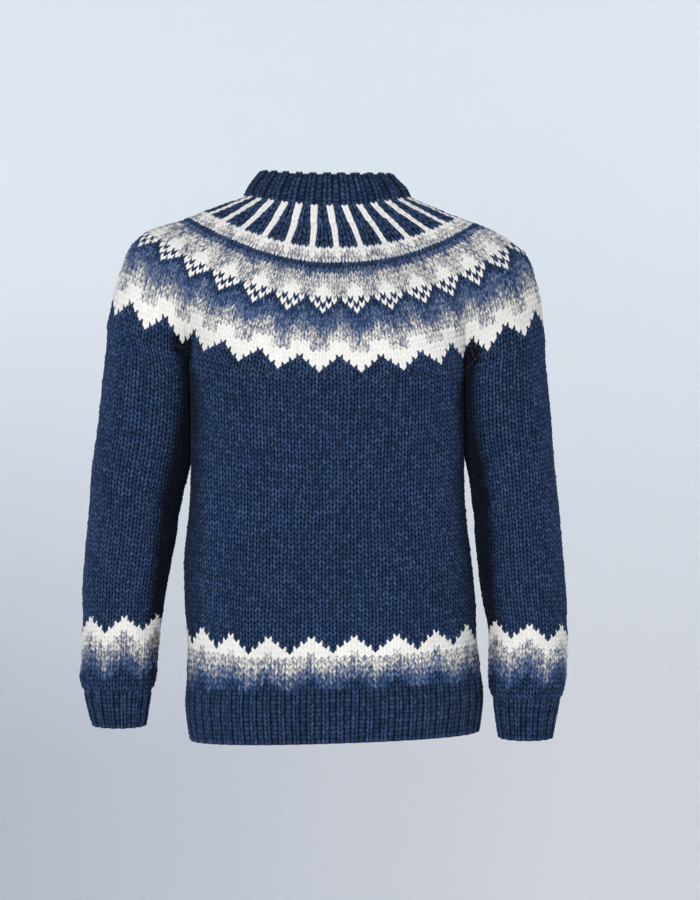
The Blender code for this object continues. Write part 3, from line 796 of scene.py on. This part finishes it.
def sleeve_piece(name, side, cloth):
    """A sleeve. Its stitches are counted from the middle of its outer side, and run out at the
    line under the arm where the wrist has fewer of them."""
    knit = Knitting(name)
    middle, half = ARM / 2, SLEEVE_ROUND // 2

    def edges(w):
        grown = np.clip(w / (SLEEVE_ROWS - SLEEVE_EVEN), 0, 1)
        limit = (WRIST_ROUND + (SLEEVE_ROUND - WRIST_ROUND) * grown)[:, None] / 2
        at = np.clip(np.arange(-half, half + 1.0)[None, :], -limit, limit)
        return middle + at * half / limit

    calm = seam_calm(SLEEVE_ROWS, (0, ARM), ((ARM, SLEEVE_ROUND),), SLEEVE_ROUND)
    rows = CUFF_TOP - np.arange(SLEEVE_ROWS)
    letters = chart_letters(CUFF_CHART, rows, np.arange(-half, half), CUFF_MOTIF[side])
    points, lift, u, w = stocking(
        cloth, 0, SLEEVE_ROWS, edges, ALONG, MEET, letters, SLEEVE_SEED + side,
        drifting(SLEEVE_DRIFTS[side], SLEEVE_ROUND), calm, SLEEVE_DRAWN,
        shaded((middle + half,), SLEEVE_ROUND, SLEEVE_SHADE),
    )
    run_out = np.abs(u - middle) > half - 1e-6
    outer = knit.add_corners(points, np.where(run_out, 0.0, lift))
    outer = np.where(run_out, outer[:, :1], outer)
    knit.add_sheet(outer, u, w, *charted(letters))
    rows = [*range(0, SLEEVE_ROWS, 4), SLEEVE_ROWS]
    inner, at = add_inside(knit, cloth, middle - half, middle + half, 1.5, rows)
    outer_at = (u - u[:, :1]) / SLEEVE_ROUND
    foot, top = (np.append(line[:-1] != line[1:], True) for line in (outer[0], outer[-1]))
    knit.join(inner[0], outer[0][foot], at, outer_at[0][foot])
    knit.join(outer[-1][top], inner[-1], outer_at[-1][top], at)
    return knit.build()


def ray_edges(stitches):
    """The places of a band's stitches, a ray's own first, then those between it and the next."""
    def edges(w):
        ray = np.interp(w, *zip(*RAY_WIDTHS))[:, None]
        between = (REPEAT - ray) / (stitches - 1) * np.arange(stitches - 1)
        one = np.concatenate([np.zeros_like(ray), ray + between], axis=1) + RAY_MIDDLE - ray / 2
        repeats = REPEAT * np.arange(YOKE_ROUND // REPEAT)
        rings = (one[:, None, :] + repeats[None, :, None]).reshape(len(w), -1)
        return np.concatenate([rings, rings[:, :1] + YOKE_ROUND], axis=1)
    return edges


def yoke_piece(cloth):
    knit = Knitting("yoke_knit")
    calm = seam_calm(1, (LEFT_START, YOKE_BACK, YOKE_RIGHT, YOKE_FRONT), (), YOKE_ROUND)
    drift = drifting(YOKE_DRIFTS, YOKE_ROUND)
    middles = (LEFT_START + 1, YOKE_BACK - 1, YOKE_RIGHT + 1, YOKE_FRONT - 1)
    shadow = shaded(middles, YOKE_ROUND, YOKE_SHADE)
    ends = []
    for first, last, stitches in YOKE_BANDS:
        if first == 0:
            foot, edges, band_calm = MEET, every_stitch(0, YOKE_ROUND), lambda u, w: calm(u, 1 - w)
            rows = np.arange(first, last) - YOKE_PLAIN
            letters = chart_letters(YOKE_CHART, rows, np.arange(YOKE_ROUND), YOKE_MOTIF)
        else:
            foot, edges, band_calm = UNDER, ray_edges(stitches), None
            rows = RAY_CHART if stitches == 4 else ["W" + "N" * (stitches - 1)] * (last - first)
            letters = [list(row) * (YOKE_ROUND // REPEAT) for row in rows]
        points, lift, u, w = stocking(
            cloth, first, last, edges, foot, OVER, letters, YOKE_SEED + first, drift, band_calm,
            shadow=shadow,
        )
        numbers = knit.add_rings(points, lift)
        knit.add_sheet(numbers, u, w, *charted(letters))
        ends.append((numbers, (u - u[:, :1]) / YOKE_ROUND))
    for (below, below_at), (above, above_at) in zip(ends, ends[1:]):
        knit.join(below[-1], above[0], below_at[-1], above_at[0])
    (foot, foot_at), (top, top_at) = ends[0], ends[-1]
    inner, at = add_inside(knit, cloth, 0, YOKE_ROUND, 2, YOKE_INNER_ROWS)
    knit.join(inner[0], foot[0], at, foot_at[0])
    knit.join(top[-1], inner[-1], top_at[-1], at)
    return knit.build()


def ribbed(name, cloth, lean=np.zeros_like):
    """A tube of rib, from its foot up: a knit column on a ridge, then a purl one in a groove.

    A hem's or a cuff's has a wall, and its top is tucked under the piece above it. The neckband is
    folded back to its own foot. lean gives how far along each place lies from its even one.
    """
    ribs, rows, share, middle, ridge, wall, dark, seed = RIBS[name]
    knit = Knitting(name)
    rng = np.random.default_rng(SEED + seed)
    start = middle - share / 2
    per_rib = cloth.round / ribs
    span = (cloth.rows - 1 if wall else cloth.rows) / rows
    at = np.concatenate([start + share * ACROSS, start + share + (1 - share) * PURL])
    u = ((np.arange(ribs)[:, None] + at) * per_rib).ravel()
    u = np.append(u, u[0] + cloth.round)[None, :]

    def all_round(knit_column, purl_column):
        return repeated(np.concatenate([knit_column, purl_column]), ribs)

    next_v = np.interp(PURL, np.append(ACROSS, 1), repeated(PRONG, 1))
    prong, prong_top = all_round(PRONG, PURL_BEND), all_round(PRONG, next_v)
    lift_u, high = all_round(ACROSS_OUT, PURL_OUT), all_round(RIB_UP, PURL_UP)
    deep = all_round(np.full(len(ACROSS), RIB_DEPTHS[0]), np.full(len(PURL), RIB_DEPTHS[1]))
    w, out_w, near_foot, near_top = stitch_rows(0, rows)
    if wall:
        bend = 1 - near_foot
        prong = prong + (prong_top - prong) * near_top
        ridge = ridge * np.clip((rows - w) / RIB_START, 0.1, 1)
    else:
        bend = (1 - near_foot) * (1 - near_top)
    slow = cloth.wander(u, w, seed, 0.14) * bend * (1 - near_top)
    place_w = w + V_DEPTH * prong * bend + slow
    even = u + cloth.wander(u, w, seed + 1, 0.08) + lean(u)
    points, out = cloth.at(even, place_w * span)
    lift = (1 - deep * (1 - out_w)) * lift_u
    legs = rng.normal(1.0, RIB_UNEVEN, lift.shape)
    height = lift * legs * RELIEF * RIB_RELIEF - SUNK + ridge * high
    # Painted shade: the ridges are lifted, so they are drawn lighter, and the whole rib is drawn
    # darker by how shaded it is.
    lift = np.clip(lift + RIB_LIGHT * high, 0, 1) * (1 - dark)
    if wall:
        height = height - RIB_EDGE * near_foot**2
        height[-1] = -SUNK - RIB_TOP
        lift[-1] = ALONG[2] * (1 - dark)
        tuck = rows + TUCK_ROWS
        points_up, out_up = cloth.at(even[-1:], (tuck + V_DEPTH * prong_top) * span)
        points = np.concatenate([points + out * height[:, :, None], points_up + out_up * UNDER[1]])
        lift = np.concatenate([lift, np.zeros_like(lift[:1])])
        w = np.concatenate([w, np.full((1, 1), tuck)])
    else:
        height[0] = height[-1] = UNDER[1]
        points = points + out * height[:, :, None]
    numbers = knit.add_rings(points, lift)
    knit.add_sheet(numbers, u / per_rib * 2, w, 0)
    outer_at = (u[0] - u[0, 0]) / cloth.round
    if not wall:
        knit.join(numbers[-1], numbers[0], outer_at, outer_at)
        return knit.build()
    coarse = slice(None, None, len(at))
    inner_u, inner_w = np.meshgrid(u[0, coarse], [0, 0.15, 1, 3, 6, rows, tuck + TUCK_INNER])
    inner, out = cloth.at(inner_u + lean(inner_u), inner_w * span)
    pull = np.array([0.7, 0.92, 1, 1, 1, 1, 1])[:, None, None] * wall
    inner = knit.add_rings(inner - out * pull, np.ones_like(inner_u))
    knit.add_sheet(inner[:, ::-1], (inner_u / per_rib * 2)[:, ::-1], inner_w[:, ::-1], INSIDE)
    knit.add_wall(inner, numbers, outer_at[coarse], outer_at)
    return knit.build()


def rib_cloth(ring, length, rows, own, above):
    """A rib's rings from its foot, which go on into the first rows of the piece above it."""
    rings = [ring(down) for down in np.linspace(length, 0, rows + 1)]
    rings += [look_up(above, own, np.full(len(own), row)) for row in (1.0, 2.0)]
    return Cloth(np.array(rings[:-1]), rings[-1])


def hem_cloth(body):
    length, count = HEM_SECTIONS[-1][0], HEM_RIBS * 4

    def ring(down):
        plan = round_it(oval(*read(HEM_SECTIONS, down), BODY_ROUNDNESS), count)
        rise = HEM_RISE * down / length
        z = BODY_SECTIONS[0][0] - down + HEM_TILT * plan[:, 0] - rise * plan[:, 1]
        return np.column_stack([plan, z])

    own = np.arange(count) * BODY_ROUND / count
    return rib_cloth(ring, length, HEM_RIB_ROWS, own, body)


def cuff_cloth(side, sleeve):
    table, count = CUFF_SECTIONS[side], CUFF_RIBS * 4

    def ring(down):
        plan = sleeve_plan(table, down, side, count)
        return np.column_stack([plan, np.full(count, SLEEVE_SECTIONS[side][0][0] - down)])

    own = np.arange(count) * SLEEVE_ROUND / count - UNDERARM / 2
    return rib_cloth(ring, table[-1][0], CUFF_ROWS, own, sleeve)


def neckband_cloth():
    """Up the outside, over the fold and down the inside."""
    count = NECK_RIBS * 4
    steps = np.linspace(0, NECKBAND_RINGS[-1][0], NECK_ROWS + 1)
    outer = np.array([hilly_ring(NECKBAND_RINGS, step, count) for step in steps])
    inner = outer - outward(outer) * (NECKBAND_CLOTH - RELIEF + SUNK)
    crown = (outer[-1] + inner[-1]) / 2 + [0, 0, CROWN]
    shoulders = [(ring + crown) / 2 + [0, 0, CROWN * 0.25] for ring in (outer[-1], inner[-1])]
    rings = np.concatenate([outer, [shoulders[0], crown, shoulders[1]], inner[::-1]])
    return Cloth(rings)


# ---- loose fibres ----

def fibres(cloths):
    """Loose ends of wool as thin ribbons."""
    rng = np.random.default_rng(SEED + FIBRE_SEED)
    total = sum(weight for _, _, weight in FIBRE_PLACES)
    corners, kinds = [], []
    for cloth, (rows, kind, weight) in zip(cloths, FIBRE_PLACES):
        n = int(FIBRES * weight / total)
        u, v = rng.uniform(0, cloth.round, n), rng.uniform(0, rows, n)
        root, out = cloth.at(u, v)
        along = unit(cloth.at(u + 0.2, v)[0] - root)
        turn = rng.uniform(0, 2 * math.pi, n)[:, None]
        way = along * np.cos(turn) + np.cross(out, along) * np.sin(turn)
        aside = np.cross(way, out)
        bend = unit(aside) * rng.normal(0, 0.5, n)[:, None]
        size = rng.uniform(*FIBRE_LENGTH, n)[:, None]
        stand = rng.uniform(*FIBRE_STAND, n)[:, None]
        lines = []
        for step in FIBRE_STEPS:
            middle = root + size * (way * step * (1 - 0.3 * stand) + bend * step**2)
            middle = middle + out * (size * stand * step * (1 - 0.35 * step) * 0.8 - FIBRE_ROOT)
            edge = aside * FIBRE_WIDTH / 2 * (1 - 0.6 * step)
            lines += [middle - edge, middle + edge]
        corners.append(np.stack(lines, axis=1).reshape(-1, 3))
        kinds.append(np.full(3 * n, kind))
    corners = np.concatenate(corners)
    ribbon = [0, 1, 3, 2, 2, 3, 5, 4, 4, 5, 7, 6]
    numbers = (np.arange(0, len(corners), 8)[:, None] + ribbon).ravel()
    sizes = np.full(len(numbers) // 4, 4)
    kinds = np.concatenate(kinds)
    return mesh_piece("loose_fibres", corners, numbers, sizes, kinds, FIBRE_WOOLS)


# ---- materials ----

class Look:
    """A new material, and short ways to add to its nodes."""

    def __init__(self, name):
        self.material = bpy.data.materials.new(name)
        self.material.use_nodes = True
        self.tree = self.material.node_tree
        self.shader = self.tree.nodes["Principled BSDF"]

    def put(self, node, values):
        """Gives a node's inputs a value each, or links them to another node's output."""
        for name, value in values.items():
            if isinstance(value, bpy.types.NodeSocket):
                self.tree.links.new(value, node.inputs[name])
            else:
                node.inputs[name].default_value = value

    def add(self, kind, output, values={}, **settings):
        """An output of a new node."""
        node = self.tree.nodes.new("ShaderNode" + kind)
        for name, value in settings.items():
            setattr(node, name, value)
        self.put(node, values)
        return node.outputs[output]

    def mapped(self, value, low, high, start, end):
        ranges = {"From Min": low, "From Max": high, "To Min": start, "To Max": end}
        return self.add("MapRange", "Result", {"Value": value, **ranges})

    def mixed(self, share, one, two, blend="MIX"):
        """Two colours, which are the node's sockets 6 and 7, mixed."""
        values = {0: share, 6: one, 7: two}
        return self.add("Mix", 2, values, data_type="RGBA", blend_type=blend)

    def math(self, kind, *values):
        return self.add("Math", 0, dict(enumerate(values)), operation=kind)

    def noise(self, place, scale, detail, rough):
        values = {"Vector": place, "Scale": scale, "Detail": detail, "Roughness": rough}
        return self.add("TexNoise", "Fac", values)

    def darkened(self, colour, light):
        """A colour times a grey level."""
        grey = self.add("CombineColor", "Color", {0: light, 1: light, 2: light})
        return self.mixed(1.0, colour, grey, "MULTIPLY")

    def bump(self, height, strength, distance):
        values = {"Strength": strength, "Distance": distance, "Height": height}
        self.put(self.shader, {"Normal": self.add("Bump", "Normal", values)})


def yarn(name, base, fleck, flecked, groove_shade_share, uneven):
    """Wool of one colour with flecks of another, with painted shade between its stitches.

    flecked is the noise at which flecks start and are full, groove the share of the colour that
    the painted shade leaves where a corner's lift is lowest, between stitches, and uneven how much
    one leg of a stitch may differ from the next. Without a base it is heather, whose shade is the
    stitch's own.
    """
    look = Look(name)
    place = look.add("Mapping", "Vector", {"Vector": look.add("UVMap", "UV"), "Scale": (2, 1, 1)})
    spot = look.add("TexCoord", "Object")
    leg = look.add("VectorMath", "Vector", {0: place}, operation="FLOOR")
    chance = look.add("TexWhiteNoise", "Value", {"Vector": leg}, noise_dimensions="2D")
    strands = look.add("Mapping", "Vector", {"Vector": place, "Scale": (1.7, 1.2, 1)})
    strands = look.noise(strands, 1.0, 2.0, 0.7)
    if base:
        amount = look.math("ADD", strands, look.mapped(chance, 0, 1, -0.09, 0.09))
        flecks = look.mapped(amount, *flecked, 0, 1)
        colour = look.mixed(flecks, (*base, 1), (*fleck, 1))
    else:
        shade = look.add("Attribute", "Fac", attribute_name="shade")
        mottled = 0.0
        for part, low, high, most in (
            (strands, 0.38, 0.62, 0.36),
            (chance, 0, 1, 0.24),
            (look.noise(spot, 75, 2, 0.5), 0.35, 0.65, 0.12),
        ):
            mottled = look.math("ADD", look.mapped(part, low, high, -most, most), mottled)
        share = look.mapped(shade, 0, 1, *MOTTLED)
        amount = look.math("ADD", shade, look.math("MULTIPLY", mottled, share))
        colour = look.add("ValToRGB", "Color", {"Fac": amount})
        stops = colour.node.color_ramp.elements
        for tenths in range(1, 10):
            stops.new(tenths / 10)
        for stop, shade in zip(stops, SHADES):
            stop.color = (*shade, 1)
    hairs = look.mapped(look.noise(spot, 1100, 3, 0.65), 0.3, 0.7, 0.78, 1.22)
    light = look.mapped(chance, 0, 1, 1 - uneven, 1 + uneven)
    patchy = look.mapped(look.noise(spot, 9, 2, 0.5), 0.3, 0.7, 0.93, 1.07)
    light = look.math("MULTIPLY", look.math("MULTIPLY", light, patchy), hairs)
    # Painted shade: where a corner's lift is low, between the stitches, at the seams and in the
    # painted shadow beside the arms, the colour is darkened.
    lift = look.add("Attribute", "Fac", attribute_name="lift")
    left = look.mapped(lift, 0.18, 0.85, groove_shade_share, 1.0)
    tint = [min(1.0, 0.3 + 2 * c) for c in base or SHADES[5]]
    look.put(look.shader, {
        "Base Color": look.darkened(look.darkened(colour, light), left),
        "Roughness": 0.95,
        "Specular IOR Level": 0.12,
        "Sheen Weight": 0.06,
        "Sheen Roughness": 0.5,
        "Sheen Tint": (*tint, 1),
    })
    look.bump(look.noise(spot, 1500, 4, 0.7), 0.6, 0.0005)
    return look


def make_wools():
    # Each wool's fifth number is the share of its colour left in the deepest painted shade between
    # stitches.
    yarn("wool_navy", NAVY, NAVY_LIGHT, (0.5, 0.75), 0.06, 0.3)
    yarn("wool_white", WHITE, WHITE_LIGHT, (0.5, 0.8), 0.88, 0.03)
    yarn("wool_heather", None, None, None, 0.5, 0.06)
    # The back of the knitting, with rows of small bumps.
    look = yarn("wool_inside", NAVY, [2 * c for c in NAVY], (0.5, 0.8), 1.0, 0.2)
    waves = []
    for axis, turns in (("X", 2), ("Y", 1)):
        part = look.add("SeparateXYZ", axis, {0: look.add("UVMap", "UV")})
        waves.append(look.math("SINE", look.math("MULTIPLY", part, 2 * math.pi * turns)))
    look.bump(look.math("MULTIPLY_ADD", waves[0], 0.35, waves[1]), 1.0, 0.0012)
    for name, base in FIBRE_WOOLS.items():
        look = Look(name)
        shade = look.noise(look.add("TexCoord", "Object"), 300, 2, 0.5)
        colour = look.darkened((*base, 1), look.mapped(shade, 0.3, 0.7, 0.6, 1.4))
        look.put(look.shader, {"Base Color": colour, "Roughness": 0.8, "Specular IOR Level": 0.2})


# ---- scene ----

def make_camera():
    camera = bpy.data.cameras.new("camera")
    camera.lens, camera.sensor_width = 86.96, 36
    holder = added("camera", camera)
    holder.location = (0.023, -2.5, -0.28175)
    holder.rotation_euler = (math.radians(90), 0, 0)
    bpy.context.scene.camera = holder


def area_light(name, place, aim, size, power):
    light = bpy.data.lights.new(name, "AREA")
    light.shape = "RECTANGLE"
    light.size = light.size_y = size
    light.energy = power
    holder = added(name, light)
    holder.visible_camera = False
    holder.location = place
    x, y, z = (a - b for a, b in zip(aim, place))
    holder.rotation_euler = (math.atan2(math.hypot(x, y), -z), 0, math.atan2(-x, y))


def paper():
    """Pale blue-grey paper with painted shade, a little darker towards the floor and at one end of
    it.
    """
    look = Look("paper")
    spot = look.add("TexCoord", "Object")
    high = look.mapped(look.add("SeparateXYZ", "Z", {0: spot}), *PAPER_HEIGHTS, 0, 1)
    across = look.mapped(look.add("SeparateXYZ", "X", {0: spot}), *PAPER_SIDES, 0, 1)
    low = look.mixed(across, (*PAPER_LEFT, 1), (*PAPER_RIGHT, 1))
    colour = look.mixed(high, low, (*PAPER_TOP, 1))
    look.put(look.shader, {"Base Color": colour, "Roughness": 1.0, "Specular IOR Level": 0.0})
    return look.material


def make_stage():
    """A round room of pale paper whose floor curves up into its wall, and soft light."""
    floor, middle, wall, bend, top = ROOM
    profile = [(middle, floor)]
    for turn in np.linspace(0, math.pi / 2, ROOM_BENDS):
        profile.append((wall - bend + bend * math.sin(turn), floor + bend * (1 - math.cos(turn))))
    profile.append((wall, top))
    sides = ROOM_SIDES
    angles = np.linspace(0, 2 * math.pi, sides, endpoint=False)
    corners = [(r * math.cos(a), r * math.sin(a), z) for r, z in profile for a in angles]
    faces = [range(sides)]
    for ring in range(0, len(corners) - sides, sides):
        for k in range(sides):
            one, two = ring + k, ring + (k + 1) % sides
            faces.append((one, two, two + sides, one + sides))
    mesh = bpy.data.meshes.new("floor")
    mesh.from_pydata(corners, [], faces)
    mesh.shade_smooth()
    mesh.materials.append(paper())
    added("floor", mesh)
    world = bpy.data.worlds.new("soft")
    world.use_nodes = True
    sky = world.node_tree.nodes["Background"].inputs
    sky["Color"].default_value, sky["Strength"].default_value = (0.93, 0.96, 1.0, 1), 0.3
    bpy.context.scene.world = world
    bpy.context.scene.view_settings.view_transform = "Standard"
    for name, lamp in LAMPS.items():
        area_light(name, *lamp)


def main():
    make_wools()
    top = body_top()
    tops = {side: sleeve_top(side, top) for side in (1, -1)}
    yoke = yoke_grid(yoke_foot(top, tops[1], tops[-1]))
    yoke_cloth = Cloth(yoke, hilly_ring(NECKBAND_RINGS, 0.6, YOKE_ROUND))

    body = body_grid(top)
    above = 2 * top - body[-2]
    own = np.arange(FRONT + 1)
    for first, met in ((RIGHT_END, YOKE_FRONT), (LEFT_END, YOKE_BACK)):
        above[(first + own) % BODY_ROUND] = yoke[1][(met + own) % YOKE_ROUND]
    body = folded(body, BODY_FOLDS, np.arange(BODY_ROUND) / BODY_ROUND)
    cloths = [yoke_cloth, Cloth(body, above), hem_cloth(body)]
    side_stitch, half = LEFT_START + UNDERARM // 2, BODY_ROUND // 2
    drift = drifting(BODY_DRIFTS, BODY_ROUND)

    def hem_lean(u):
        return 2 * drift(u / 2, np.zeros_like(u))[0]

    pieces = [
        body_half("body_front", cloths[1], side_stitch - half, half, drift),
        body_half("body_back", cloths[1], side_stitch, half, drift),
        ribbed("hem_rib_knit", cloths[2], hem_lean),
    ]
    for side, word, met in ((1, "left", HALF), (-1, "right", YOKE_RIGHT)):
        sleeve = sleeve_grid(side, tops[side])
        above = 2 * tops[side] - sleeve[-2]
        above[: ARM + 1] = yoke[1][(met + np.arange(ARM + 1)) % YOKE_ROUND]
        share = side * (np.arange(SLEEVE_ROUND) + UNDERARM / 2) / SLEEVE_ROUND
        sleeve = folded(sleeve, SLEEVE_FOLDS, np.mod(share, 1.0))
        cloths.append(Cloth(sleeve, above))
        pieces.append(sleeve_piece("sleeve_" + word + "_knit", side, cloths[-1]))
        pieces.append(ribbed("cuff_" + word + "_knit", cuff_cloth(side, sleeve)))
    cloths.append(neckband_cloth())
    pieces.append(yoke_piece(yoke_cloth))
    pieces.append(ribbed("neckband_knit", cloths[-1]))
    pieces.append(fibres(cloths))
    for piece in pieces:
        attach(piece, "root")
    for name, (node, width, length, area, held, holder) in CUTS.items():
        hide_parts(node)
    make_camera()
    make_stage()


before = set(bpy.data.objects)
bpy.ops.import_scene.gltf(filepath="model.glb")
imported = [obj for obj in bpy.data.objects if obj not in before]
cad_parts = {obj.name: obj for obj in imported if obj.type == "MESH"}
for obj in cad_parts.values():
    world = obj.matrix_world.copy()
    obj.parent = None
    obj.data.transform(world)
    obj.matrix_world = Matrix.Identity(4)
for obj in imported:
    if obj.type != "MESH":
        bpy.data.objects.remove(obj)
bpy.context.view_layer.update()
main()
